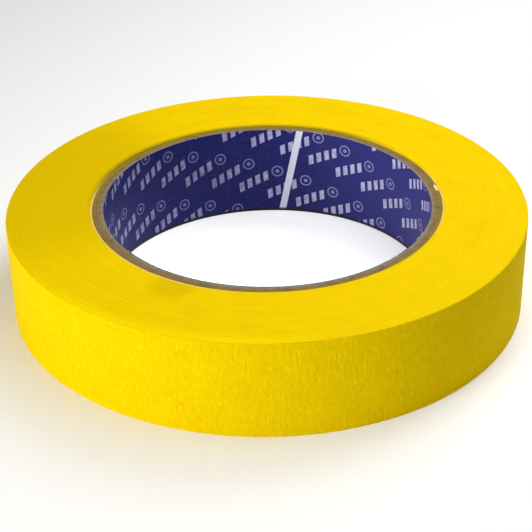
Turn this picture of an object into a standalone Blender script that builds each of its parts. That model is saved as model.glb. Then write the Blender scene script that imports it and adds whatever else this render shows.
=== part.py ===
"""Masking tape roll: crepe paper tape wound on a spiral board core with a printed liner.

The roll lies flat with its bore along +Z and its foot on Z = 0. The core is a tube of three board
plies and a paper liner. Round it come the first turn of tape, the winding, the outermost turn and
the free end, which peels outwards on a hinge. Units are metres.
"""

import math

import bmesh
import bpy
from mathutils import Matrix, Vector

# Driving dimensions
ROLL_RADIUS = 0.0610
BORE_RADIUS = 0.0384
CORE_RADIUS = 0.0412  # where the core's board meets the tape
TAPE_WIDTH = 0.0234
CORE_RECESS = 0.00015  # the core ends this far below the upper face of the tape
CORE_LIFT = 0.0004  # and this far above the lower face
GAP = 0.0003  # between neighbouring pieces

LAP_THICKNESS = 0.0003
LINER_THICKNESS = 0.00025
PLY_COUNT = 3
EDGE_ROUNDING = 0.0004  # at the outer corners of the winding

SEGMENTS = 96  # facets round the whole roll
EDGE_SEGMENTS = 3  # facets round a rounded corner

FREE_END_FACETS = 6  # facets that the free end spans
FREE_END_HINGE_DEG = 101.25  # the line where the free end is still stuck, on the far side
LAP_START_DEG = 10.0  # where the first turn starts on the core
LAP_START_SLOT = 0.0012

SEAM_WIDTH = 0.0004  # butt joint between the edges of one board ply
SEAM_SLANT_DEG = 58.0  # from the bore's axis, set by the spiral winding
FIRST_SEAM_DEG = 205.0
SEAM_STEP_DEG = 120.0

# Worked out from the driving dimensions
FACET_DEG = 360.0 / SEGMENTS
CORE_BOTTOM = CORE_LIFT
CORE_TOP = TAPE_WIDTH - CORE_RECESS
LINER_OUTER = BORE_RADIUS + LINER_THICKNESS
PLY_ROOM = CORE_RADIUS - GAP / 2 - LINER_OUTER - PLY_COUNT * GAP
PLY_THICKNESS = PLY_ROOM / PLY_COUNT
START_LAP_OUTER = CORE_RADIUS + GAP / 2 + LAP_THICKNESS
WINDING_INNER = START_LAP_OUTER + GAP
WINDING_OUTER = ROLL_RADIUS - LAP_THICKNESS - GAP

TAPE_YELLOW = (0.80, 0.60, 0.01)
TAPE_YELLOW_EDGE = (0.88, 0.68, 0.02)
TAPE_PALE = (0.86, 0.66, 0.20)
BOARD_BROWN = (0.24, 0.15, 0.06)
BOARD_TAN = (0.27, 0.19, 0.10)
BOARD_GREY = (0.29, 0.24, 0.17)
LINER_BLUE = (0.03, 0.03, 0.13)


def clear_scene():
    for obj in list(bpy.data.objects):
        bpy.data.objects.remove(obj, do_unlink=True)


def new_collection(name):
    collection = bpy.data.collections.new(name)
    bpy.context.scene.collection.children.link(collection)
    return collection


def new_empty(name, collection, location=(0, 0, 0)):
    empty = bpy.data.objects.new(name, None)
    empty.empty_display_size = 0.01
    empty.location = location
    collection.objects.link(empty)
    return empty


def material(name, color, roughness, metallic=0.0):
    made = bpy.data.materials.new(name)
    made.use_nodes = True
    shader = made.node_tree.nodes["Principled BSDF"]
    shader.inputs["Base Color"].default_value = (*color, 1.0)
    shader.inputs["Roughness"].default_value = roughness
    shader.inputs["Metallic"].default_value = metallic
    return made


def profile_object(name, points, closed, collection):
    """An outline in the XZ plane, given as (radius, height), ready for a Screw modifier."""
    count = len(points)
    edges = [(i, i + 1) for i in range(count - 1)]
    if closed:
        edges.append((count - 1, 0))
    mesh = bpy.data.meshes.new(name)
    mesh.from_pydata([(radius, 0.0, height) for radius, height in points], edges, [])
    obj = bpy.data.objects.new(name, mesh)
    collection.objects.link(obj)
    return obj


def turn(obj, facets):
    """Turn the profile about Z through a whole number of facets."""
    screw = obj.modifiers.new("turn", "SCREW")
    screw.axis = "Z"
    screw.angle = math.radians(FACET_DEG * facets)
    screw.steps = facets
    screw.render_steps = facets
    screw.use_merge_vertices = facets == SEGMENTS
    screw.merge_threshold = 0.00001


def thicken(obj, thickness):
    """Give a turned skin its thickness, inwards from the surface that was turned."""
    solidify = obj.modifiers.new("thickness", "SOLIDIFY")
    solidify.thickness = thickness
    solidify.offset = -1.0


def cut(obj, cutter):
    boolean = obj.modifiers.new("seam", "BOOLEAN")
    boolean.operation = "DIFFERENCE"
    boolean.solver = "EXACT"
    boolean.object = cutter


def box_cutter(name, size, matrix, collection):
    mesh = bpy.data.meshes.new(name)
    cage = bmesh.new()
    bmesh.ops.create_cube(cage, size=1.0)
    bmesh.ops.scale(cage, vec=Vector(size), verts=cage.verts)
    cage.to_mesh(mesh)
    cage.free()
    cutter = bpy.data.objects.new(name, mesh)
    cutter.matrix_world = matrix
    cutter.hide_render = True
    cutter.display_type = "WIRE"
    collection.objects.link(cutter)
    return cutter


def seam_cutter(name, angle_deg, radius, width, slant_deg, collection):
    """A thin blade that stands on the wall at one angle, slanted from the bore's axis."""
    place = (
        Matrix.Rotation(math.radians(angle_deg), 4, "Z")
        @ Matrix.Translation((radius, 0.0, TAPE_WIDTH / 2))
        @ Matrix.Rotation(math.radians(slant_deg), 4, "X")
    )
    depth = radius / 2
    length = 1.4 * TAPE_WIDTH / math.cos(math.radians(slant_deg))
    return box_cutter(name, (depth, width, length), place, collection)


def apply_modifiers(obj):
    """Turn the modifiers into a mesh, smooth on its round faces and sharp at its edges."""
    graph = bpy.context.evaluated_depsgraph_get()
    mesh = bpy.data.meshes.new_from_object(obj.evaluated_get(graph))
    obj.modifiers.clear()
    obj.data = mesh
    mesh.shade_smooth()
    mesh.set_sharp_from_angle(angle=math.radians(35))


def finish(obj, look, parent):
    apply_modifiers(obj)
    obj.data.materials.clear()
    obj.data.materials.append(look)
    obj.parent = parent


def skin(name, outer_radius, thickness, bottom, top, collection, facets=SEGMENTS):
    """A turned wall of even thickness, which runs from +X through the given facets."""
    outline = [(outer_radius, top), (outer_radius, bottom)]
    obj = profile_object(name, outline, False, collection)
    turn(obj, facets)
    thicken(obj, thickness)
    return obj


def quarter_circle(centre_radius, centre_height, start_deg):
    """A rounded corner of the winding, clockwise from start_deg, as (radius, height) points."""
    points = []
    for step in range(EDGE_SEGMENTS + 1):
        angle = math.radians(start_deg - 90.0 * step / EDGE_SEGMENTS)
        radius = centre_radius + EDGE_ROUNDING * math.cos(angle)
        height = centre_height + EDGE_ROUNDING * math.sin(angle)
        points.append((radius, height))
    return points


def make_winding(parts, parent):
    corner_radius = WINDING_OUTER - EDGE_ROUNDING
    outline = quarter_circle(corner_radius, TAPE_WIDTH - EDGE_ROUNDING, 90.0)
    outline += quarter_circle(corner_radius, EDGE_ROUNDING, 0.0)
    outline += [(WINDING_INNER, 0.0), (WINDING_INNER, TAPE_WIDTH)]
    winding = profile_object("wound_tape", outline, True, parts)
    turn(winding, SEGMENTS)
    finish(winding, material("tape_winding", TAPE_YELLOW_EDGE, 0.75), parent)


def make_start_lap(parts, cutters, parent):
    lap = skin("start_lap", START_LAP_OUTER, LAP_THICKNESS, 0.0, TAPE_WIDTH, parts)
    slot = seam_cutter("start_slot", LAP_START_DEG, START_LAP_OUTER, LAP_START_SLOT, 0.0, cutters)
    cut(lap, slot)
    finish(lap, material("tape_start", TAPE_PALE, 0.8), parent)


def make_outer_lap(parts, parent):
    """The outermost turn, from just past the cut end round to the line where it is peeled."""
    clearance_deg = math.degrees(GAP / ROLL_RADIUS)
    facets = SEGMENTS - FREE_END_FACETS
    lap = skin("outer_lap", ROLL_RADIUS, LAP_THICKNESS, 0.0, TAPE_WIDTH, parts, facets)
    lap.modifiers["turn"].angle -= math.radians(2 * clearance_deg)
    finish(lap, material("tape_skin", TAPE_YELLOW, 0.7), parent)
    lap.rotation_euler.z = math.radians(FREE_END_HINGE_DEG + clearance_deg)


def make_free_end(parts, parent):
    """The last stretch of tape, from the line where it is still stuck to its cut edge.

    It folds back on the outside of the roll, so its hinge lies in its outer face.
    """
    hinge_angle = math.radians(FREE_END_HINGE_DEG)
    hinge = ROLL_RADIUS * Vector((math.cos(hinge_angle), math.sin(hinge_angle), 0.0))
    pivot = new_empty("free_end_hinge", parts, hinge)
    pivot.parent = parent
    start = hinge_angle - math.radians(FACET_DEG * FREE_END_FACETS)
    facets = FREE_END_FACETS
    tab = skin("free_end", ROLL_RADIUS, LAP_THICKNESS, 0.0, TAPE_WIDTH, parts, facets)
    finish(tab, material("tape_free_end", TAPE_YELLOW, 0.7), pivot)
    tab.data.transform(Matrix.Translation(-hinge) @ Matrix.Rotation(start, 4, "Z"))


def make_core(parts, cutters, parent):
    liner = skin("core_liner", LINER_OUTER, LINER_THICKNESS, CORE_BOTTOM, CORE_TOP, parts)
    finish(liner, material("liner_paper", LINER_BLUE, 0.45), parent)
    plies = (
        ("core_inner_ply", BOARD_GREY),
        ("core_middle_ply", BOARD_TAN),
        ("core_outer_ply", BOARD_BROWN),
    )
    outer = LINER_OUTER
    for index, (name, color) in enumerate(plies):
        outer += GAP + PLY_THICKNESS
        ply = skin(name, outer, PLY_THICKNESS, CORE_BOTTOM, CORE_TOP, parts)
        angle = FIRST_SEAM_DEG + SEAM_STEP_DEG * index
        cut(ply, seam_cutter(name + "_seam", angle, outer, SEAM_WIDTH, SEAM_SLANT_DEG, cutters))
        finish(ply, material(name + "_board", color, 0.9), parent)


def main():
    clear_scene()
    parts = new_collection("masking_tape_roll")
    cutters = new_collection("cutters")
    roll = new_empty("roll", parts)
    make_core(parts, cutters, roll)
    make_start_lap(parts, cutters, roll)
    make_winding(parts, roll)
    make_outer_lap(parts, roll)
    make_free_end(parts, roll)


main()
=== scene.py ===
import math

import bpy
import numpy as np
from mathutils import Matrix, Vector


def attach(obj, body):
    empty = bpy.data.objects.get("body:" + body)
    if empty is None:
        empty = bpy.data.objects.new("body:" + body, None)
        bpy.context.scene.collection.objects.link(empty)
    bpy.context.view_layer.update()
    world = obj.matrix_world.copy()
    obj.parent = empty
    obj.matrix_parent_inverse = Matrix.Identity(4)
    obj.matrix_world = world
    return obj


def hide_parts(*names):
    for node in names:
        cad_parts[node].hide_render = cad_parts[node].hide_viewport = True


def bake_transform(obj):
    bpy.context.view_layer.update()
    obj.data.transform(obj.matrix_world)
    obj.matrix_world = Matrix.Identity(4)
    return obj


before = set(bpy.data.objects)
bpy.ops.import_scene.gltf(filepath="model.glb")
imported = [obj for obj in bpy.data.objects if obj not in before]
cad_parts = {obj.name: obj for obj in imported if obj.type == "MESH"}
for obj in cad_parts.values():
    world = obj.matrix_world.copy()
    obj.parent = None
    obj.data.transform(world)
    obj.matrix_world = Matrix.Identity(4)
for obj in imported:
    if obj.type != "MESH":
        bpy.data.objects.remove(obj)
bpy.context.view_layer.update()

MM = 0.001
FULL_TURN = 2.0 * math.pi

# Thicknesses and small shapes of the real strips
TAPE = 0.14 * MM
LINER = 0.14 * MM
GLUE_LINE = 0.02 * MM
LAP_PITCH = 2 * TAPE  # the winding's edges are modelled two turns at a time
SHOULDER = 0.3 * MM  # rounding of the tape's edges where the outer turns meet the top face
FOOT_SHOULDER = 0.16 * MM  # and where they meet the face that the roll lies on
EDGE_DROOP = 0.06 * MM  # the top face's outer edge is pressed down by this much at the front
DROOP_REACH = 3.2 * MM  # over this width of the face
CREVICE = 0.08 * MM  # between the core and the first turns
INNER_EDGE_SUNK = 0.22 * MM  # the winding's inner edge lies lower by this at the far side
INNER_EDGE_REACH = 0.9 * MM
FIRST_TURNS = 0.45 * MM  # thickness of the first few turns, which are a separate pale band
FIRST_TURNS_SUNK = 0.34 * MM  # how far they lie below the face at the far side
FIRST_TURNS_FOOT = 0.02 * MM
FIRST_TURNS_ROUNDING = 0.1 * MM
FIRST_TURNS_ROUGH = 0.03 * MM
LAP_START = math.radians(10.0)
LAP_SLOT = 0.25 * MM  # between the two ends of the first turns
CORE_FOOT = 0.03 * MM  # the core all but touches the floor
CORE_ROUNDING = 0.05 * MM
BOARD_FUZZ = 0.03 * MM  # mean depth of the roughness on the board's cut edges
PAPER_FUZZ = 0.015 * MM
FUZZ_REACH = 0.12 * MM  # the roughness ends this far from the top and the foot
SEAM_GAP = 0.05 * MM
SEAM_SLANT = math.radians(58.0)  # of the board plies, from the bore's axis
FIRST_SEAM_DEG = 205.0
SEAM_STEP_DEG = 120.0
LINER_SEAM = math.radians(-90.0)

# The core is neither quite central nor quite round
CORE_SHIFT = 0.10 * MM  # towards +X
CORE_EASE = 0.10 * MM  # its outer radius is less than the CAD's by this
BORE_SHIFT = 0.15 * MM  # towards +Y
BORE_EASE = 0.24 * MM  # the bore's radius is more than the CAD's by this
OUT_OF_ROUND = 0.36 * MM
CORE_OUT_OF_ROUND = 0.3 * OUT_OF_ROUND
LONG_AXIS = math.radians(106.0)
FOOT_OVAL = 0.78 * MM  # added at the foot, where the bore is longest another way
FOOT_LONG_AXIS = math.radians(21.0)

# Where the looks change round the roll, as angles from +X or in millimetres from the axis
PALE_HIGHLIGHT_AT = math.radians(198.0)  # middle of the stretch where the first turns are painted palest, a painted highlight on their edge
RIM_HIGHLIGHT_AT = math.radians(248.0)  # middle of the stretch where a highlight is painted on the top face's rim
EDGE_SHADE_AT = math.radians(168.0)  # middle of the stretch where shade is painted on the tape's edges
SHADOWED_AT = math.radians(110.0)  # middle of the stretch where the first turns are sunk and shadow is painted
# Middle of a darker patch on the top face near the bore, in millimetres
DARK_PATCH_AT = (-20.5, -38.5)
GLINT_SPOT = 5.6  # along Y: a glint painted on the board beside the first turn's start

# The camera, from the viewing angle
CAMERA_ELEVATION = math.radians(29.606)
CAMERA_DISTANCE = 0.35201
CAMERA_LENS = 99.446
CAMERA_AIM_BELOW = math.radians(0.869)
CAMERA_AIM_LEFT = math.radians(0.0778)
CAMERA_ROLL = math.radians(0.915)

# The liner's print, in millimetres: lines of marks that climb round the bore
PRINT_TILT = math.radians(24.27)
PRINT_LINE_PITCH = 5.10
PRINT_LINE_SHIFT = 5.88
PRINT_REPEAT = 20.0
PRINT_START = (21.14, 19.78)  # length round the bore and height of one ring's middle
RING_RADIUS = 1.36
RING_STROKE = 0.36
DOT_RADIUS = 0.52
BAR_COUNT = 4
BAR_PITCH = 2.30
BAR_WIDTH = 1.34
BAR_HEIGHT = 2.45
BAR_LEAN = 0.35
FIRST_BAR = -3.35  # middle of the bar nearest the ring, along the line from the ring's middle
BLANK_STRIP_FOOT = 4.11  # length round the bore where the blank strip would meet the floor
BLANK_STRIP_LEAN = 0.1987
BLANK_STRIP_WIDTH = 1.75


# Sizes read from the frame


def wall(node):
    """(inner radius, outer radius, bottom, top) of a round CAD node."""
    points = np.array([v.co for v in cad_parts[node].data.vertices])
    radii = np.hypot(points[:, 0], points[:, 1])
    return radii.min(), radii.max(), points[:, 2].min(), points[:, 2].max()


def angle_span(node):
    """First and last angle of a CAD node that spans a part of the circle, away from -X."""
    points = np.array([v.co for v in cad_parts[node].data.vertices])
    angles = np.arctan2(points[:, 1], points[:, 0])
    return angles.min(), angles.max()


ROLL_RADIUS = wall("outer_lap")[1]
TAPE_WIDTH = wall("wound_tape")[3]
CORE_RADIUS = 0.5 * (wall("core_outer_ply")[1] + wall("start_lap")[0])
BORE_RADIUS = wall("core_liner")[0]
CORE_TOP = wall("core_liner")[3]
CUT_ANGLE, HINGE_ANGLE = angle_span("free_end")


# Where the surfaces lie


def core_edge(angles):
    """Outer radius of the core's board."""
    oval = CORE_OUT_OF_ROUND * np.cos(2 * (angles - LONG_AXIS))
    return CORE_RADIUS - CORE_EASE + CORE_SHIFT * np.cos(angles) + oval


def winding_edge(angles):
    """Inner radius of the winding, outside the first few turns."""
    return core_edge(angles) + CREVICE + FIRST_TURNS + GLUE_LINE


def bore_wall(angles, heights):
    """Radius of the bore: out of round, and longest another way at the foot than at the top."""
    shift = CORE_SHIFT * np.cos(angles) + BORE_SHIFT * np.sin(angles)
    oval = OUT_OF_ROUND * np.cos(2 * (angles - LONG_AXIS))
    down = (CORE_TOP - heights) / CORE_TOP
    foot_oval = down * FOOT_OVAL * np.cos(2 * (angles - FOOT_LONG_AXIS))
    return BORE_RADIUS + BORE_EASE + shift + oval + foot_oval


def strip_length(angles):
    """Length along the outer turn, from the cut end."""
    return (angles - CUT_ANGLE) * ROLL_RADIUS


def first_turn_length(angles):
    """Length along the first turn from its start, clockwise as seen from above."""
    return (LAP_START + FULL_TURN - angles) * CORE_RADIUS


def bore_length(angles):
    """Length round the bore from the far side of the roll, clockwise as seen from above."""
    return (math.pi / 2 - angles) * (BORE_RADIUS + BORE_EASE)


def far_side(angles):
    """1 near the middle of the far-side stretch with painted shadow, falling to 0 about 73 degrees
    from it.
    """
    share = np.clip((np.cos(angles - SHADOWED_AT) - 0.3) / 0.5, 0, 1)
    return share * share * (3 - 2 * share)


def edge_droop(angles):
    """How far the outer edge of the top face lies below the rest of it."""
    return EDGE_DROOP * (0.5 - 0.5 * np.sin(angles))


# Noise and mesh tools


def smooth_noise(x, y, cells, seed):
    """Smooth noise between -1 and 1, a value to each unit cell, repeating after the given cells."""
    grid = np.random.default_rng(seed).uniform(-1.0, 1.0, cells)
    column = np.floor(x).astype(int)
    row = np.floor(y).astype(int)
    along = x - column
    up = y - row
    along = along * along * (3 - 2 * along)
    up = up * up * (3 - 2 * up)
    near = column % cells[0]
    far = (column + 1) % cells[0]
    low = row % cells[1]
    high = (row + 1) % cells[1]
    bottom = grid[near, low] * (1 - along) + grid[far, low] * along
    top = grid[near, high] * (1 - along) + grid[far, high] * along
    return bottom * (1 - up) + top * up


def sweep(name, angles, radii, heights, angles_to_length, closed):
    """A solid swept round Z from a closed section, as (columns, points) arrays.

    The section runs down its outer side, in along the foot and up its inner side. Its UV map is
    in metres: the length round Z and the height. A closed sweep's last column repeats its first.
    """
    columns, points = radii.shape
    rings = columns - 1 if closed else columns
    places = np.stack([radii * np.cos(angles), radii * np.sin(angles), heights], axis=2)
    lengths = angles_to_length(angles)
    column = np.arange(columns - 1)[:, None]
    point = np.arange(points)[None, :]
    after = (point + 1) % points
    corners = []
    for step, place in ((0, point), (0, after), (1, after), (1, point)):
        corners.append(np.broadcast_arrays(column + step, place))
    vertex = np.stack([(c % rings if closed else c) * points + p for c, p in corners], axis=2)
    faces = [tuple(face) for face in vertex.reshape(-1, 4).tolist()]
    uv = np.stack([np.stack([lengths[c, p], heights[c, p]], axis=2) for c, p in corners], axis=2)
    uv = uv.reshape(-1, 2)
    if not closed:
        first = [(0, p) for p in reversed(range(points))]
        last = [(columns - 1, p) for p in range(points)]
        faces += [tuple(c * points + p for c, p in end) for end in (first, last)]
        uv = np.vstack([uv, [[lengths[c, p], heights[c, p]] for c, p in first + last]])
    mesh = bpy.data.meshes.new(name)
    mesh.from_pydata(places[:rings].reshape(-1, 3).tolist(), [], faces)
    layer = mesh.uv_layers.new(name="strip")
    layer.data.foreach_set("uv", uv.astype(np.float32).ravel())
    mesh.shade_smooth()
    mesh.set_sharp_from_angle(angle=math.radians(48))
    mesh.update()
    obj = bpy.data.objects.new(name, mesh)
    bpy.context.scene.collection.objects.link(obj)
    return obj


def arc(count, first, last):
    """Unit circle points from the angle first to last, as (cosine, sine) arrays."""
    turn = np.radians(np.linspace(first, last, count))
    return np.cos(turn), np.sin(turn)


def ring_section(columns, thickness, foot, top, rounding, rows):
    """A ring's section with rounded corners, as (columns, points) arrays of depth and height.

    The depth runs from 0 at the ring's inner side to 1 at its outer side, foot and top hold one
    height for each column, and rows gives the number of steps along each of the four sides.
    """
    inset = rounding / thickness
    foot = np.broadcast_to(foot, columns)[:, None]
    top = np.broadcast_to(top, columns)[:, None]
    corners = (
        (1 - inset, top - rounding, 90.0),
        (1 - inset, foot + rounding, 0.0),
        (inset, foot + rounding, -90.0),
        (inset, top - rounding, -180.0),
    )
    depths = []
    heights = []
    for index, (depth, height, start) in enumerate(corners):
        cosine, sine = arc(4, start, start - 90.0)
        next_depth, next_height, _ = corners[(index + 1) % 4]
        share = np.linspace(0, 1, rows[index] + 1)[1:-1]
        ones = np.ones((columns, 1))
        depths.append((depth + inset * cosine) * ones)
        depths.append((depth + (next_depth - depth) * share + inset * cosine[-1]) * ones)
        heights.append(height + rounding * sine)
        heights.append(height + (next_height - height) * share + rounding * sine[-1])
    return np.hstack(depths), np.hstack(heights)


def settle(obj, node, look):
    """Give a piece its look and put it in place of its CAD node, fixed to the roll."""
    obj.data.materials.append(look)
    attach(obj, "roll")
    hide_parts(node)


# Shader tools


class Term:
    """A number in a shader. Python's operators on it add Math nodes."""

    def __init__(self, shader, socket):
        self.shader = shader
        self.socket = socket

    def __add__(self, other):
        return self.shader.math("ADD", self, other)

    def __sub__(self, other):
        return self.shader.math("SUBTRACT", self, other)

    def __mul__(self, other):
        return self.shader.math("MULTIPLY", self, other)

    def __truediv__(self, other):
        return self.shader.math("DIVIDE", self, other)


class Shader:
    """A material under construction, with its Principled BSDF."""

    def __init__(self, name, roughness, specular=0.5, tint=(1.0, 1.0, 1.0)):
        self.material = bpy.data.materials.new(name)
        self.material.use_nodes = True
        self.tree = self.material.node_tree
        self.bsdf = self.tree.nodes["Principled BSDF"]
        self.bsdf.inputs["Roughness"].default_value = roughness
        self.bsdf.inputs["Specular IOR Level"].default_value = specular
        self.bsdf.inputs["Specular Tint"].default_value = (*tint, 1.0)

    def plug(self, value, socket):
        """Link a term to a socket, or set the socket to a plain number or colour."""
        if isinstance(value, Term):
            self.tree.links.new(value.socket, socket)
        else:
            socket.default_value = value

    def math(self, operation, *values):
        node = self.tree.nodes.new("ShaderNodeMath")
        node.operation = operation
        for value, socket in zip(values, node.inputs):
            self.plug(value, socket)
        return Term(self, node.outputs[0])

    def vector(self, x, y, z=0.0):
        node = self.tree.nodes.new("ShaderNodeCombineXYZ")
        for value, socket in zip((x, y, z), node.inputs):
            self.plug(value, socket)
        return Term(self, node.outputs[0])

    def split(self, vector):
        node = self.tree.nodes.new("ShaderNodeSeparateXYZ")
        self.plug(vector, node.inputs[0])
        return [Term(self, output) for output in node.outputs]

    def strip_mm(self):
        """Length along the strip and height, in millimetres, from the UV map."""
        node = self.tree.nodes.new("ShaderNodeUVMap")
        node.uv_map = "strip"
        length, height, _ = self.split(Term(self, node.outputs[0]))
        return length / MM, height / MM

    def place_mm(self):
        """Place in the part's frame, in millimetres."""
        node = self.tree.nodes.new("ShaderNodeTexCoord")
        return [value / MM for value in self.split(Term(self, node.outputs["Object"]))]

    def length(self, x, y):
        return self.math("SQRT", x * x + y * y)

    def noise(self, vector, detail=2.0, roughness=0.5):
        node = self.tree.nodes.new("ShaderNodeTexNoise")
        node.inputs["Scale"].default_value = 1.0
        node.inputs["Detail"].default_value = detail
        node.inputs["Roughness"].default_value = roughness
        self.plug(vector, node.inputs["Vector"])
        return Term(self, node.outputs["Fac"])

    def ramp(self, value, low, high, bottom=0.0, top=1.0):
        """Bottom where value is below low, top where it is above high, smooth in between."""
        node = self.tree.nodes.new("ShaderNodeMapRange")
        node.interpolation_type = "SMOOTHSTEP"
        self.plug(value, node.inputs["Value"])
        node.inputs["From Min"].default_value = low
        node.inputs["From Max"].default_value = high
        node.inputs["To Min"].default_value = bottom
        node.inputs["To Max"].default_value = top
        return Term(self, node.outputs["Result"])

    def mix(self, share, color_a, color_b):
        """Colour A where share is 0, B where it is 1."""
        node = self.tree.nodes.new("ShaderNodeMix")
        node.data_type = "RGBA"
        self.plug(share, node.inputs[0])
        for value, socket in ((color_a, node.inputs[6]), (color_b, node.inputs[7])):
            self.plug(value if isinstance(value, Term) else (*value, 1.0), socket)
        return Term(self, node.outputs[2])

    def bump(self, height, distance, under=None):
        node = self.tree.nodes.new("ShaderNodeBump")
        node.inputs["Strength"].default_value = 1.0
        node.inputs["Distance"].default_value = distance
        self.plug(height, node.inputs["Height"])
        if under:
            self.plug(under, node.inputs["Normal"])
        return Term(self, node.outputs[0])

    def finish(self, color, roughness=None, normal=None):
        self.plug(color, self.bsdf.inputs["Base Color"])
        if roughness:
            self.plug(roughness, self.bsdf.inputs["Roughness"])
        if normal:
            self.plug(normal, self.bsdf.inputs["Normal"])
        return self.material


# Materials

YELLOW = (0.90, 0.645, 0.0005)
YELLOW_DEEP = (0.84, 0.585, 0.0005)
# Painted highlight colour for the crepe's crinkles and glints
YELLOW_HIGHLIGHT = (0.97, 0.75, 0.012)
YELLOW_SHADE = (0.60, 0.41, 0.002)
EDGE_YELLOW = (0.985, 0.677, 0.0005)
EDGE_DEEP = (0.88, 0.595, 0.0005)
# Painted shade colour for the tape's edges at the left
EDGE_SHADED = (0.79, 0.54, 0.0005)
# Painted highlight colour for the top face's rim at the front
EDGE_HIGHLIGHT = (0.99, 0.74, 0.0008)
YELLOW_SHEEN = (1.0, 0.72, 0.01)
# Painted shadow colour at the far side, next to the core
OLIVE_SHADOW = (0.33, 0.235, 0.012)
ADHESIVE = (0.88, 0.66, 0.06)
CREAM = (0.95, 0.72, 0.20)
# Painted glint colour at the first turns' start
CREAM_GLINT = (0.98, 0.80, 0.30)
BOARD_BROWN = (0.31, 0.205, 0.056)
BOARD_TAN = (0.275, 0.186, 0.066)
BOARD_GREY = (0.28, 0.22, 0.12)
BOARD_DARK = (0.10, 0.068, 0.028)
PAPER_EDGE = (0.30, 0.262, 0.21)
INK_BLUE = (0.006, 0.007, 0.106)
INK_BLUE_WORN = (0.016, 0.017, 0.150)
# Ink painted lighter, as lit, towards the right of the bore
INK_BLUE_LIT = (0.030, 0.031, 0.215)
INK_PALE = (0.58, 0.56, 0.80)
INK_RING = (0.26, 0.25, 0.50)
PAPER_WHITE = (0.74, 0.75, 0.88)
# Painted shadow colour at the liner's foot
FOOT_SHADOW = (0.012, 0.010, 0.016)


def crepe_paper():
    """The tape's outer face: fine wrinkles across the strip, with a thin wax release coat."""
    shader = Shader("crepe_paper", 0.6, 0.005, YELLOW_SHEEN)
    length, height = shader.strip_mm()
    cloud = shader.noise(shader.vector(length / 6.0, height / 7.0, 2.0), detail=3.0)
    length = length + cloud * 0.8
    wrinkle = shader.noise(shader.vector(length / 0.55, height / 1.6), detail=3.0, roughness=0.6)
    crinkle = shader.noise(shader.vector(length / 0.21, height / 0.6, 4.0), detail=2.0)
    fleck = shader.noise(shader.vector(length / 0.5, height / 0.5, 9.0), detail=3.0, roughness=0.7)
    streak = shader.noise(shader.vector(length / 0.9, height / 2.6, 6.0), detail=3.0, roughness=0.6)
    glint = shader.noise(shader.vector(length / 0.8, height / 1.8, 12.0), detail=1.0)
    color = shader.mix(shader.ramp(wrinkle, 0.36, 0.68, 0.15, 1.2), YELLOW_DEEP, YELLOW)
    # Painted shade: darker streaks on the crepe's wrinkles
    mottled = shader.ramp(streak, 0.42, 0.72) * shader.ramp(cloud, 0.35, 0.6, 0.05, 0.3)
    color = shader.mix(mottled, color, YELLOW_SHADE)
    # Painted highlights: lighter crinkle tops and glints on the crepe
    color = shader.mix(shader.ramp(crinkle, 0.56, 0.82, 0.0, 0.5), color, YELLOW_HIGHLIGHT)
    color = shader.mix(shader.ramp(glint, 0.62, 0.74, 0.0, 0.8), color, YELLOW_HIGHLIGHT)
    color = shader.mix(shader.ramp(cloud, 0.45, 0.75, 0.0, 0.5), color, YELLOW_DEEP)
    color = shader.mix(shader.ramp(fleck, 0.60, 0.85, 0.0, 0.3), color, YELLOW_SHADE)
    roughness = shader.ramp(wrinkle, 0.3, 0.7, 0.7, 0.52)
    normal = shader.bump(wrinkle, 0.055 * MM)
    normal = shader.bump(crinkle, 0.03 * MM, normal)
    return shader.finish(color, roughness, normal)


def ring_noise(shader, pitch, arcs, layer=0.0):
    """Noise in rings round Z: pitch is the rings' width, arcs sets how often they change."""
    x, y, _ = shader.place_mm()
    radius = shader.length(x, y)
    around = shader.vector(x / radius * arcs + layer, y / radius * arcs, radius / pitch)
    return shader.noise(around, detail=2.0)


def from_core(shader):
    """Distance outwards from the core's edge, and 1 at the stretch with painted shadow to -1
    opposite it.
    """
    x, y, _ = shader.place_mm()
    radius = shader.length(x - CORE_SHIFT / MM, y)
    side = (x * math.cos(SHADOWED_AT) + y * math.sin(SHADOWED_AT)) / radius
    return radius - (CORE_RADIUS - CORE_EASE) / MM, side


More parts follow.
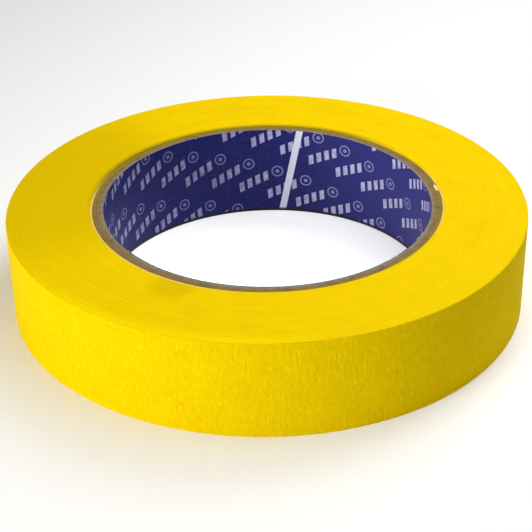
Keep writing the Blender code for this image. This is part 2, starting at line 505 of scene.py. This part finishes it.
def tape_edges():
    """The faces of the roll, where the slit edges of all the turns show as fine rings."""
    shader = Shader("tape_edges", 0.65, 0.03, YELLOW_SHEEN)
    turns = ring_noise(shader, 0.2, 5.0)
    bands = ring_noise(shader, 1.6, 2.5, 7.0)
    x, y, z = shader.place_mm()
    fibre = shader.noise(shader.vector(x / 0.3, y / 0.3, z / 0.3), detail=3.0, roughness=0.65)
    cloud = shader.noise(shader.vector(x / 5.0, y / 5.0, z / 5.0), detail=4.0, roughness=0.6)
    radius = shader.length(x, y)
    color = shader.mix(shader.ramp(turns, 0.3, 0.7, 0.4, 1.0), EDGE_DEEP, EDGE_YELLOW)
    # Painted light: the top face is painted brighter towards the far side
    color = shader.mix(shader.ramp(y / radius, 0.2, 0.8, 0.0, 0.7), color, EDGE_YELLOW)
    color = shader.mix(shader.ramp(bands, 0.42, 0.75, 0.0, 0.35), color, EDGE_DEEP)
    color = shader.mix(shader.ramp(cloud, 0.42, 0.7, 0.0, 0.5), color, EDGE_DEEP)
    color = shader.mix(shader.ramp(fibre, 0.6, 0.85, 0.0, 0.2), color, YELLOW_SHADE)
    outwards, side = from_core(shader)
    # Painted highlight: the top face's rim is painted brighter at the front
    at_rim_highlight = (x * math.cos(RIM_HIGHLIGHT_AT) + y * math.sin(RIM_HIGHLIGHT_AT)) / radius
    rim_highlight = shader.ramp(radius, 57.0, 60.0) * shader.ramp(at_rim_highlight, 0.8, 0.97)
    color = shader.mix(rim_highlight, color, EDGE_HIGHLIGHT)
    # Painted shade: the top face is painted darker at the left
    at_edge_shade = (x * math.cos(EDGE_SHADE_AT) + y * math.sin(EDGE_SHADE_AT)) / radius
    color = shader.mix(shader.ramp(at_edge_shade, 0.65, 0.93, 0.0, 0.9), color, EDGE_SHADED)
    # A darker patch on the top face near the bore at the front left
    smudge = shader.length(x - DARK_PATCH_AT[0], y - DARK_PATCH_AT[1]) + cloud * 5.0
    color = shader.mix(shader.ramp(smudge, 4.5, 9.5, 0.4, 0.0), color, YELLOW_SHADE)
    # Painted shadow: the top face next to the core is painted olive at the far side
    painted_shadow = shader.ramp(outwards, 0.3, 2.1, 1.0, 0.0) * shader.ramp(side, 0.15, 0.85)
    color = shader.mix(painted_shadow * 0.9, color, OLIVE_SHADOW)
    normal = shader.bump(turns, 0.03 * MM)
    normal = shader.bump(fibre, 0.03 * MM, normal)
    return shader.finish(color, shader.ramp(turns, 0.3, 0.7, 0.72, 0.6), normal)


def first_turn_paper():
    """The first turns: a pale band with a painted highlight at left and right, painted shadow at the
    far side, a painted glint at the start.
    """
    shader = Shader("first_turn_paper", 0.6, 0.2, YELLOW_SHEEN)
    length, _ = shader.strip_mm()
    turns = ring_noise(shader, 0.15, 6.0)
    patches = ring_noise(shader, 2.0, 3.0, 5.0)
    _, side = from_core(shader)
    x, y, _ = shader.place_mm()
    color = shader.mix(shader.ramp(turns, 0.3, 0.7, 0.5, 1.0), YELLOW_DEEP, CREAM)
    color = shader.mix(shader.ramp(patches, 0.4, 0.7, 0.0, 0.3), color, YELLOW_DEEP)
    radius = shader.length(x, y)
    # Painted highlight: the first turns are painted pale only at the left and right
    at_left = (x * math.cos(PALE_HIGHLIGHT_AT) + y * math.sin(PALE_HIGHLIGHT_AT)) / radius
    pale = shader.ramp(at_left, 0.35, 0.75)
    pale = shader.math("MAXIMUM", pale, shader.ramp(x / radius, 0.88, 0.98, 0.0, 0.7))
    color = shader.mix(pale, YELLOW, color)
    # Painted shadow on the first turns at the far side
    color = shader.mix(shader.ramp(side, 0.3, 0.75), color, OLIVE_SHADOW)
    # Painted glint at the first turns' start
    color = shader.mix(shader.ramp(length, 0.2, 0.6, 1.0, 0.0), color, CREAM_GLINT)
    return shader.finish(color, normal=shader.bump(turns, 0.08 * MM))


def board(name, color_base, color_fleck):
    """Chipboard: short recycled fibres in layers, darker flecks, a knife-cut end."""
    shader = Shader(name, 0.85, 0.15)
    x, y, z = shader.place_mm()
    layers = ring_noise(shader, 0.16, 9.0)
    fibre = shader.noise(shader.vector(x / 0.35, y / 0.35, z / 0.35), detail=4.0, roughness=0.7)
    blotch = shader.noise(shader.vector(x / 2.6, y / 2.6, z / 2.6), detail=3.0)
    color = shader.mix(shader.ramp(layers, 0.3, 0.7), color_base, color_fleck)
    color = shader.mix(shader.ramp(fibre, 0.52, 0.8, 0.0, 0.6), color, BOARD_DARK)
    color = shader.mix(shader.ramp(blotch, 0.45, 0.75, 0.0, 0.4), color, BOARD_DARK)
    outwards, side = from_core(shader)
    # Painted shadow: the board's outer part is painted olive at the far side
    painted_shadow = shader.ramp(outwards, -1.3, -0.2) * shader.ramp(side, 0.0, 0.6)
    color = shader.mix(painted_shadow * 0.9, color, OLIVE_SHADOW)
    # Painted glint on the board beside the first turn's start
    from_glint = shader.length((y - GLINT_SPOT) / 1.8, (outwards + 0.35) / 0.42)
    painted_glint = shader.ramp(from_glint, 0.7, 1.1, 1.0, 0.0) * shader.ramp(x, 30.0, 35.0)
    color = shader.mix(painted_glint, color, CREAM_GLINT)
    normal = shader.bump(layers, 0.10 * MM)
    normal = shader.bump(fibre, 0.10 * MM, normal)
    return shader.finish(color, normal=normal)


def soft_step(shader, value, edge, blur=0.06):
    """1 where value is below edge, 0 above it, with a short blend between."""
    return shader.ramp(value, edge - blur, edge + blur, 1.0, 0.0)


def printed_marks(shader, length, height):
    """Where the rings with their dots, and the slanted bars, are printed, from 0 to 1."""
    from_start = length - PRINT_START[0]
    above_start = height - PRINT_START[1]
    cos_tilt = math.cos(PRINT_TILT)
    sin_tilt = math.sin(PRINT_TILT)
    along = from_start * cos_tilt + above_start * sin_tilt
    across = above_start * cos_tilt - from_start * sin_tilt
    line = shader.math("ROUND", across / -PRINT_LINE_PITCH)
    across = across + line * PRINT_LINE_PITCH
    along = along - line * PRINT_LINE_SHIFT
    before_ring = PRINT_REPEAT * 0.8
    along = shader.math("FLOORED_MODULO", along + before_ring, PRINT_REPEAT) - before_ring
    from_ring = shader.length(along, across)
    ring = soft_step(shader, shader.math("ABSOLUTE", from_ring - RING_RADIUS), RING_STROKE / 2)
    dot = soft_step(shader, from_ring, DOT_RADIUS)
    leaned = along - across * BAR_LEAN
    in_bar = shader.math("PINGPONG", leaned - FIRST_BAR, BAR_PITCH / 2)
    middle = FIRST_BAR - BAR_PITCH * (BAR_COUNT - 1) / 2
    in_row = shader.math("ABSOLUTE", leaned - middle)
    bars = soft_step(shader, in_bar, BAR_WIDTH / 2)
    bars = bars * soft_step(shader, shader.math("ABSOLUTE", across), BAR_HEIGHT / 2)
    bars = bars * soft_step(shader, in_row, BAR_PITCH * BAR_COUNT / 2)
    return shader.math("MAXIMUM", ring, dot), bars


def printed_liner():
    """Dark blue print on white paper, with one strip left blank where the print's edge falls."""
    shader = Shader("printed_liner", 0.5, 0.18)
    length, height = shader.strip_mm()
    smudge = shader.noise(shader.vector(length / 1.2, height / 1.2), detail=4.0, roughness=0.65)
    grain = shader.noise(shader.vector(length / 0.12, height / 0.3, 3.0), detail=2.0)
    rings, bars = printed_marks(shader, length, height)
    ink = shader.mix(shader.ramp(smudge, 0.35, 0.75), INK_BLUE, INK_BLUE_WORN)
    x = shader.place_mm()[0]
    # Painted light: the ink is painted lighter towards the right
    ink = shader.mix(shader.ramp(x, 0.0, 37.0), ink, INK_BLUE_LIT)
    worn = shader.ramp(smudge, 0.38, 0.68, 0.0, 0.35)
    # Painted shade: the rings and bars are painted darker towards the left
    shade_to_left = shader.ramp(x, -20.0, 26.0, 0.42, 0.0)
    pale = shader.mix(worn + shade_to_left, INK_PALE, INK_BLUE_WORN)
    color = shader.mix(rings, ink, shader.mix(shade_to_left, INK_RING, INK_BLUE_WORN))
    color = shader.mix(bars, color, pale)
    from_strip = length - height * BLANK_STRIP_LEAN - BLANK_STRIP_FOOT
    from_strip = shader.math("ABSOLUTE", from_strip)
    blank = soft_step(shader, from_strip, BLANK_STRIP_WIDTH / 2, 0.08)
    color = shader.mix(blank, color, PAPER_WHITE)
    foot = CORE_FOOT / MM
    # Painted shadow: a dark band along the liner's foot
    foot_shadow_share = shader.ramp(height, foot + 0.45, foot + 1.2, 1.0, 0.0)
    color = shader.mix(foot_shadow_share, color, FOOT_SHADOW)
    roughness = shader.ramp(grain, 0.3, 0.7, 0.45, 0.58)
    normal = shader.bump(smudge, 0.03 * MM)
    normal = shader.bump(grain, 0.012 * MM, normal)
    return shader.finish(color, roughness, normal)


def adhesive_side():
    """The tape's inner face: glossy tacky adhesive over the wrinkled paper."""
    shader = Shader("adhesive_side", 0.35, 0.4, YELLOW_SHEEN)
    length, height = shader.strip_mm()
    wrinkle = shader.noise(shader.vector(length / 0.4, height / 2.0), detail=3.0, roughness=0.6)
    fibre = shader.noise(shader.vector(length / 0.2, height / 0.2, 5.0), detail=2.0)
    color = shader.mix(shader.ramp(wrinkle, 0.3, 0.7), YELLOW_DEEP, ADHESIVE)
    color = shader.mix(shader.ramp(fibre, 0.6, 0.85, 0.0, 0.4), color, CREAM)
    roughness = shader.ramp(fibre, 0.3, 0.7, 0.25, 0.45)
    return shader.finish(color, roughness, shader.bump(wrinkle, 0.10 * MM))


# The tape

ROUNDED_POINTS = 6  # points across each rounded edge of the outermost turn's section
WALL_POINTS = 36  # between those edges, on the outer face
STICKY_POINTS = 3  # and on the adhesive face
EDGE_SEED = 21


def crepe_relief(length, height):
    """Depth of the crepe wrinkles below the outer face, in metres."""
    x = length / MM
    y = height / MM
    broad = smooth_noise(x / 5.5, y / 11.0, (71, 3), 11)
    wrinkle = smooth_noise(x / 0.62 + 0.5 * broad, y / 2.4, (619, 11), 12)
    crinkle = smooth_noise(x / 0.40, y / 1.2, (967, 23), 13)
    depth = 0.012 * (1 + broad) + 0.022 * (1 + wrinkle) + 0.014 * (1 + crinkle)
    return depth * MM


def phase(angles):
    """How far round the outermost turn an angle is, from 0 at the cut end to 1."""
    return (angles - CUT_ANGLE) / FULL_TURN


def turn_section(angles, edge_drift):
    """The outermost turn's section at each angle: a thin strip with softly rounded edges."""
    outer = ROLL_RADIUS - TAPE * phase(angles)[:, None]
    top_start = math.acos((SHOULDER - TAPE) / SHOULDER)
    foot_start = math.acos((FOOT_SHOULDER - TAPE) / FOOT_SHOULDER)
    top_cos, top_sin = arc(ROUNDED_POINTS, math.degrees(top_start), 0.0)
    foot_cos, foot_sin = arc(ROUNDED_POINTS, 0.0, -math.degrees(foot_start))
    top = TAPE_WIDTH - edge_drift[:, None] - edge_droop(angles)[:, None]
    foot = 0.3 * edge_drift[:, None]
    down = np.linspace(0, 1, WALL_POINTS + 2)[None, 1:-1]
    up = np.linspace(0, 1, STICKY_POINTS + 2)[None, 1:-1]
    face_top = top - SHOULDER
    face_foot = foot + FOOT_SHOULDER
    inner_foot = face_foot - FOOT_SHOULDER * math.sin(foot_start)
    inner_top = face_top + SHOULDER * math.sin(top_start)
    radii = np.hstack([
        outer - SHOULDER * (1 - top_cos),
        np.repeat(outer, WALL_POINTS, axis=1),
        outer - FOOT_SHOULDER * (1 - foot_cos),
        np.repeat(outer - TAPE, STICKY_POINTS, axis=1),
    ])
    heights = np.hstack([
        face_top + SHOULDER * top_sin,
        face_top + (face_foot - face_top) * down,
        face_foot + FOOT_SHOULDER * foot_sin,
        inner_foot + (inner_top - inner_foot) * up,
    ])
    spread = np.repeat(angles[:, None], radii.shape[1], axis=1)
    outside = np.arange(radii.shape[1]) < 2 * ROUNDED_POINTS + WALL_POINTS
    relief = crepe_relief(strip_length(spread), heights)
    radii = radii - np.where(outside[None, :], relief, 0.0)
    return spread, radii, heights


def edge_wander(angles):
    """How far the strip's slit edge lies inside the roll's face, which varies along the strip."""
    share = angles / FULL_TURN
    slow = smooth_noise(share * 9, share * 0, (9, 1), EDGE_SEED)
    quick = smooth_noise(share * 61, share * 0, (61, 1), EDGE_SEED + 1)
    return (0.02 + 0.012 * slow + 0.006 * quick) * MM


def make_last_turn(look):
    """The outermost turn, from the line where the free end is still stuck round to the cut."""
    columns = 1900
    angles = np.linspace(HINGE_ANGLE, CUT_ANGLE + FULL_TURN, columns)
    section = turn_section(angles, edge_wander(angles))
    turn = sweep("tape_last_turn", *section, strip_length, False)
    settle(turn, "outer_lap", look)


def make_free_end(look, sticky):
    """The free end, cut a little raggedly and lifted at the cut."""
    columns = 130
    angles = np.linspace(CUT_ANGLE, HINGE_ANGLE, columns)
    spread, radii, heights = turn_section(angles, edge_wander(angles))
    ragged = 0.10 * MM * smooth_noise(heights / (0.7 * MM), heights * 0, (41, 1), 31)
    ragged += 0.05 * MM * smooth_noise(heights / (0.25 * MM), heights * 0, (97, 1), 32)
    near_cut = np.clip(1 - strip_length(spread) / (1.5 * MM), 0, 1)
    spread = spread + near_cut * (0.12 * MM + ragged) / ROLL_RADIUS
    lift = np.clip(1 - strip_length(spread) / (4 * MM), 0, 1)
    radii = radii + 0.10 * MM * lift * lift
    tab = sweep("tape_free_end", spread, radii, heights, strip_length, False)
    tab.data.materials.append(look)
    tab.data.materials.append(sticky)
    points = radii.shape[1]
    for face in tab.data.polygons[: (columns - 1) * points]:
        if face.index % points >= points - 1 - STICKY_POINTS:
            face.material_index = 1
    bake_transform(tab)
    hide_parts("free_end")


def lap_faces(angles, outer, pitch, shoulder, droop, seed):
    """Radii and depths of a face of the winding: rings of slit edges, each a little off level."""
    inner = winding_edge(angles)
    laps = round(float(outer.min() - inner.max()) / pitch)
    lap = np.repeat(np.arange(laps), 2)
    share = (lap + np.tile([0.05, 0.95], laps)) / laps
    radii = inner[:, None] + (outer - inner)[:, None] * share[None, :]
    around = np.repeat(angles[:, None], lap.size, axis=1) / FULL_TURN
    rows = np.repeat(lap[None, :], angles.size, axis=0)
    jitter = smooth_noise(around * 11, rows, (11, laps + 1), seed)
    bands = smooth_noise(around * 4, rows / 7.3, (4, 23), seed + 1)
    depth = (0.04 + 0.009 * jitter + 0.016 * bands) * MM
    near_core = np.clip(1 - (radii - inner[:, None]) / INNER_EDGE_REACH, 0, 1)
    depth = depth + INNER_EDGE_SUNK * far_side(angles)[:, None] * near_core * near_core
    near_rim = np.clip(1 - (outer[:, None] + TAPE - radii) / DROOP_REACH, 0, 1)
    depth = depth + droop[:, None] * near_rim * near_rim
    over = np.clip((radii - (outer[:, None] + TAPE - shoulder)) / shoulder, 0, 1)
    depth = depth + shoulder * (1 - np.sqrt(1 - over * over))
    return radii, depth


def make_winding(edges, crepe):
    """The bulk of the winding, a spiral that steps by one turn's thickness under the cut."""
    columns = 321
    step_angle = 0.0006  # the step falls within this
    angles = np.linspace(CUT_ANGLE, CUT_ANGLE + FULL_TURN, columns)
    angles[-2] = angles[-1] - step_angle
    outer = ROLL_RADIUS - TAPE - GLUE_LINE - TAPE * phase(angles)
    top_radii, top_depth = lap_faces(angles, outer, LAP_PITCH, SHOULDER, edge_droop(angles), 41)
    foot_radii, foot_depth = lap_faces(angles, outer, 2 * LAP_PITCH, FOOT_SHOULDER, 0 * angles, 51)
    wall_rows = 14
    share = np.linspace(0, 1, wall_rows)[None, :]
    wall_top = TAPE_WIDTH - top_depth[:, -1:]
    wall_foot = foot_depth[:, -1:]
    inner_rows = 4
    inner_share = np.linspace(0, 1, inner_rows)[None, :]
    inner_foot = foot_depth[:, :1]
    inner_top = TAPE_WIDTH - top_depth[:, :1]
    radii = np.hstack([
        top_radii,
        np.repeat(outer[:, None], wall_rows, axis=1),
        foot_radii[:, ::-1],
        np.repeat(winding_edge(angles)[:, None], inner_rows, axis=1),
    ])
    heights = np.hstack([
        TAPE_WIDTH - top_depth,
        wall_top + (wall_foot - wall_top) * share,
        foot_depth[:, ::-1],
        inner_foot + (inner_top - inner_foot) * inner_share,
    ])
    spread = np.repeat(angles[:, None], radii.shape[1], axis=1)
    winding = sweep("tape_winding", spread, radii, heights, strip_length, True)
    settle(winding, "wound_tape", edges)
    winding.data.materials.append(crepe)
    points = radii.shape[1]
    first_wall = top_radii.shape[1] - 1
    for face in winding.data.polygons:
        if first_wall <= face.index % points < first_wall + wall_rows:
            face.material_index = 1


def make_first_turn(look):
    """The first turns on the core, level with the face but sunk at the far side."""
    columns = 720
    half_slot = LAP_SLOT / CORE_RADIUS
    angles = np.linspace(LAP_START + half_slot, LAP_START + FULL_TURN - half_slot, columns)
    top = TAPE_WIDTH - FIRST_TURNS_SUNK * far_side(angles)
    rows = (30, 1, 12, 5)
    depths, heights = ring_section(
        columns, FIRST_TURNS, FIRST_TURNS_FOOT, top, FIRST_TURNS_ROUNDING, rows)
    inner = core_edge(angles)[:, None] + CREVICE
    radii = inner + FIRST_TURNS * depths
    spread = np.repeat(angles[:, None], radii.shape[1], axis=1)
    upper = heights > TAPE_WIDTH / 2
    rings = smooth_noise(spread / FULL_TURN * 37, depths * 3.2, (37, 5), 61)
    heights = heights - np.where(upper, FIRST_TURNS_ROUGH * (1 + rings), 0.0)
    turn = sweep("tape_first_turn", spread, radii, heights, first_turn_length, False)
    settle(turn, "start_lap", look)


# The core


def core_strip(name, look, node, sides, seam, lean, fuzz, seed, rows):
    """A strip of board or paper bent round the bore, whose ends meet in a slanted butt seam.

    sides gives its inner and outer radius for arrays of angles and heights. seam is the seam's
    angle at middle height, lean its slope, and fuzz the roughness of the strip's cut edges.
    """
    columns = 640
    seam_gap = SEAM_GAP / BORE_RADIUS
    angles = np.linspace(seam + seam_gap, seam + FULL_TURN - seam_gap, columns)
    inner, outer = sides(angles, CORE_TOP)
    thickness = float(np.mean(outer - inner))
    depths, heights = ring_section(
        columns, thickness, CORE_FOOT, CORE_TOP, CORE_ROUNDING, rows)
    middle = 0.5 * (CORE_FOOT + CORE_TOP)
    spread = angles[:, None] - lean * (heights - middle) / BORE_RADIUS
    inner, outer = sides(spread, heights)
    radii = inner + (outer - inner) * depths
    around = spread / FULL_TURN
    rough = smooth_noise(around * 420, radii / (0.22 * MM), (420, 251), seed)
    slow = smooth_noise(around * 47, radii / (0.5 * MM), (47, 131), seed + 1)
    ends = np.where(heights > middle, -1.0, 1.0)
    at_end = np.abs(heights - middle) > 0.5 * (CORE_TOP - CORE_FOOT) - FUZZ_REACH
    heights = heights + np.where(at_end, ends * fuzz * (1 + 0.6 * rough + 0.4 * slow), 0.0)
    strip = sweep(name, spread, radii, heights, bore_length, False)
    settle(strip, node, look)


def ply_sides(index, count):
    """The sides of one board ply, counted outwards from the liner."""

    def sides(angles, heights):
        core_inner = bore_wall(angles, heights) + LINER
        ply = (core_edge(angles) - core_inner) / count
        inner = core_inner + index * ply + GLUE_LINE / 2
        return inner, inner + ply - GLUE_LINE

    return sides


def liner_sides(angles, heights):
    inner = bore_wall(angles, heights)
    return inner, inner + LINER


def make_core():
    plies = (
        ("board_inner_ply", "core_inner_ply", "board_grey", BOARD_GREY, PAPER_EDGE),
        ("board_middle_ply", "core_middle_ply", "board_tan", BOARD_TAN, BOARD_BROWN),
        ("board_outer_ply", "core_outer_ply", "board_brown", BOARD_BROWN, BOARD_TAN),
    )
    for index, (name, node, slot, color_base, color_fleck) in enumerate(plies):
        core_strip(
            name, board(name, color_base, color_fleck), node,
            sides=ply_sides(index, len(plies)),
            seam=math.radians(FIRST_SEAM_DEG + SEAM_STEP_DEG * index),
            lean=math.tan(SEAM_SLANT),
            fuzz=BOARD_FUZZ,
            seed=71 + 10 * index,
            rows=(24, 4, 24, 5),
        )
    core_strip(
        "liner_print", printed_liner(), "core_liner",
        sides=liner_sides,
        seam=LINER_SEAM,
        lean=BLANK_STRIP_LEAN,
        fuzz=PAPER_FUZZ,
        seed=111,
        rows=(12, 2, 24, 2),
    )


# Floor, lights and camera


def make_floor():
    """A plain white floor that glows a little, and more inside the bore, where few lamps reach."""
    shader = Shader("floor", 0.8, 0.1)
    shader.bsdf.inputs["Base Color"].default_value = (0.9, 0.9, 0.9, 1.0)
    shader.bsdf.inputs["Emission Color"].default_value = (1.0, 1.0, 1.0, 1.0)
    x, y, _ = shader.place_mm()
    bright_within = 38.0
    plain_beyond = 45.0
    glow = shader.ramp(shader.length(x, y), bright_within, plain_beyond, 0.48, 0.18)
    shader.plug(glow, shader.bsdf.inputs["Emission Strength"])
    mesh = bpy.data.meshes.new("floor")
    half = 4.0  # metres
    corners = [(-half, -half, 0), (half, -half, 0), (half, half, 0), (-half, half, 0)]
    mesh.from_pydata(corners, [], [(0, 1, 2, 3)])
    mesh.materials.append(shader.material)
    floor = bpy.data.objects.new("floor", mesh)
    bpy.context.scene.collection.objects.link(floor)


def area_light(name, azimuth, elevation, distance, size, power):
    """A square lamp aimed at the roll, in degrees, metres and watts; azimuth starts at +X."""
    turn = math.radians(azimuth)
    rise = math.radians(elevation)
    away = Vector((math.cos(turn) * math.cos(rise), math.sin(turn) * math.cos(rise), math.sin(rise)))
    lamp = bpy.data.lights.new(name, "AREA")
    lamp.size = size
    lamp.energy = power
    obj = bpy.data.objects.new(name, lamp)
    obj.location = away * distance
    obj.rotation_euler = away.to_track_quat("Z", "Y").to_euler()
    bpy.context.scene.collection.objects.link(obj)


def make_lights():
    world = bpy.data.worlds.new("studio")
    bpy.context.scene.world = world
    world.use_nodes = True
    background = world.node_tree.nodes["Background"]
    background.inputs["Color"].default_value = (1.0, 1.0, 1.0, 1.0)
    background.inputs["Strength"].default_value = 0.03
    area_light("key", azimuth=223, elevation=12, distance=0.5, size=0.18, power=1.65)
    area_light("overhead", azimuth=322, elevation=76, distance=0.28, size=0.2, power=0.37)
    area_light("back", azimuth=52, elevation=52, distance=0.45, size=0.25, power=1.12)


def make_camera():
    """The view from -Y and above, aimed just below the roll's middle."""
    scene = bpy.context.scene
    target = Vector((0, 0, TAPE_WIDTH / 2))
    away = Vector((0, -math.cos(CAMERA_ELEVATION), math.sin(CAMERA_ELEVATION)))
    down = CAMERA_ELEVATION + CAMERA_AIM_BELOW
    ahead = Vector((
        -math.sin(CAMERA_AIM_LEFT) * math.cos(down),
        math.cos(CAMERA_AIM_LEFT) * math.cos(down),
        -math.sin(down),
    ))
    right = ahead.cross(Vector((0, 0, 1))).normalized()
    up = right.cross(ahead)
    turn = Matrix((right, up, -ahead)).transposed() @ Matrix.Rotation(-CAMERA_ROLL, 3, "Z")
    lens = bpy.data.cameras.new("camera")
    lens.lens = CAMERA_LENS
    lens.sensor_width = 36.0
    lens.clip_start = 0.01
    camera = bpy.data.objects.new("camera", lens)
    camera.matrix_world = Matrix.Translation(target + away * CAMERA_DISTANCE) @ turn.to_4x4()
    scene.collection.objects.link(camera)
    scene.camera = camera
    scene.view_settings.view_transform = "Standard"


make_camera()
make_lights()
make_floor()
crepe = crepe_paper()
make_last_turn(crepe)
make_free_end(crepe, adhesive_side())
make_winding(tape_edges(), crepe)
make_first_turn(first_turn_paper())
make_core()
